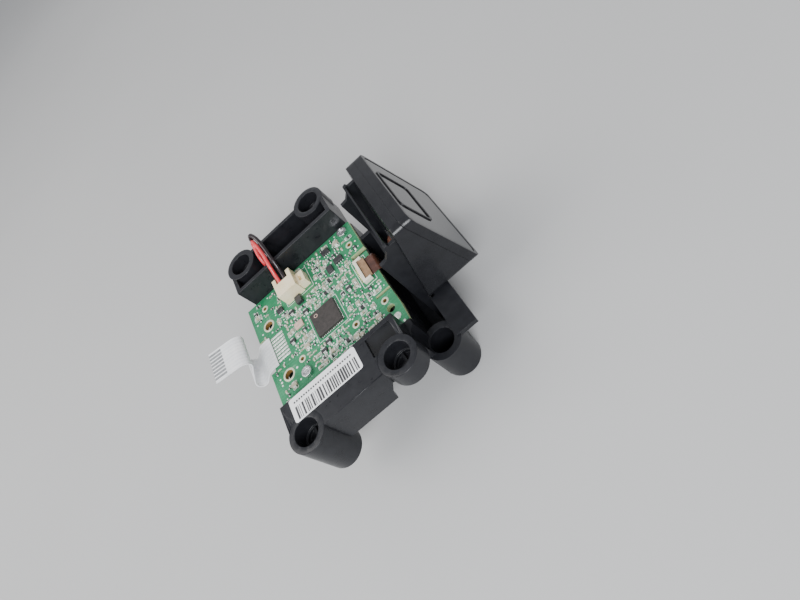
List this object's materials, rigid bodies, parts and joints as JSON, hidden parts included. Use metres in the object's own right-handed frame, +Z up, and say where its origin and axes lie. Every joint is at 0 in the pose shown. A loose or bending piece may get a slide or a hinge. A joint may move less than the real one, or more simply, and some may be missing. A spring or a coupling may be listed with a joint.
{
  "type": "optical sensor module",
  "caption": "Green circuit board on a black four-boss bracket with a wedge-shaped window hood, a white ribbon cable and a red and black lead pair.",
  "frame": {"origin": "centre of the four-boss pattern, on the boss tops", "axes": "+X toward the window hood, +Y toward the open trough that the leads fold into, +Z up out of the board"},
  "size_m": [0.0615, 0.0626, 0.0319],
  "materials": {
    "boss_plastic": "satin moulded black",
    "rib_plastic": "satin moulded black",
    "trough_plastic": "satin moulded black",
    "rail_plastic": "satin moulded black",
    "plate_plastic": "satin moulded black",
    "tray_plastic": "satin moulded black",
    "cradle_plastic": "satin moulded black",
    "housing_plastic": "satin moulded black",
    "hood_plastic": "smooth grey-black",
    "window_frame_plastic": "smooth grey-black",
    "window_glass": "dark glossy pane",
    "gasket_rubber": "matte black",
    "board_laminate": "green solder mask",
    "chip_package": "matte moulded grey-black",
    "small_chip_package": "matte moulded black",
    "inductor_body": "matte ferrite",
    "crystal_case": "smooth pinkish tan",
    "resistor_body": "smooth black with tinned ends",
    "capacitor_body": "smooth tan with tinned ends",
    "ring_tin": "pale tinned",
    "pad_tin": "dull tinned",
    "header_nylon": "cream nylon",
    "pin_metal": "tinned",
    "red_insulation": "smooth red",
    "black_insulation": "smooth black",
    "connector_plastic": "cream",
    "latch_plastic": "tan",
    "contact_gold": "gold flash",
    "flex_film": "reddish brown film",
    "ribbon_film": "white film",
    "ribbon_tin": "bare tinned",
    "label_paper": "white printed",
    "screw_steel": "bright plated",
    "sensor_board_laminate": "green solder mask",
    "sensor_package": "dark package",
    "lens_holder_plastic": "matte black",
    "lens_barrel_plastic": "matte black",
    "lens_clear": "clear"
  },
  "bodies": {
    "module": {"corner_bosses": "boss_plastic", "boss_ribs": "rib_plastic", "back_trough": "trough_plastic", "front_rail": "rail_plastic", "base_plate": "plate_plastic", "sensor_cradle": "cradle_plastic", "cradle_tray": "tray_plastic", "sensor_housing": "housing_plastic", "scan_hood": "hood_plastic", "window_frame": "window_frame_plastic", "window_pane": "window_glass", "aperture_gasket": "gasket_rubber", "main_board": "board_laminate", "controller_chip": "chip_package", "logic_chips": "small_chip_package", "power_inductor": "inductor_body", "clock_crystal": "crystal_case", "chip_resistors": "resistor_body", "chip_capacitors": "capacitor_body", "plated_rings": "ring_tin", "solder_pads": "pad_tin", "lead_header": "header_nylon", "header_pins": "pin_metal", "red_lead": "red_insulation", "black_lead": "black_insulation", "flex_connector_body": "connector_plastic", "flex_contacts": "contact_gold", "sensor_flex": "flex_film", "ribbon_cable": "ribbon_film", "ribbon_conductors": "ribbon_tin", "rail_label": "label_paper", "board_screws": "screw_steel", "sensor_board": "sensor_board_laminate", "image_sensor": "sensor_package", "lens_holder": "lens_holder_plastic", "lens_barrel": "lens_barrel_plastic", "lens_glass": "lens_clear"},
    "latch": {"flex_connector_latch": "latch_plastic"}
  },
  "joints": [
    {"name": "latch_flip", "type": "hinge", "parent": "module", "child": "latch", "pos_m": [0.0132, 0.0018, -0.00558], "axis": [0, -1, 0], "range_deg": [0, 90]}
  ]
}
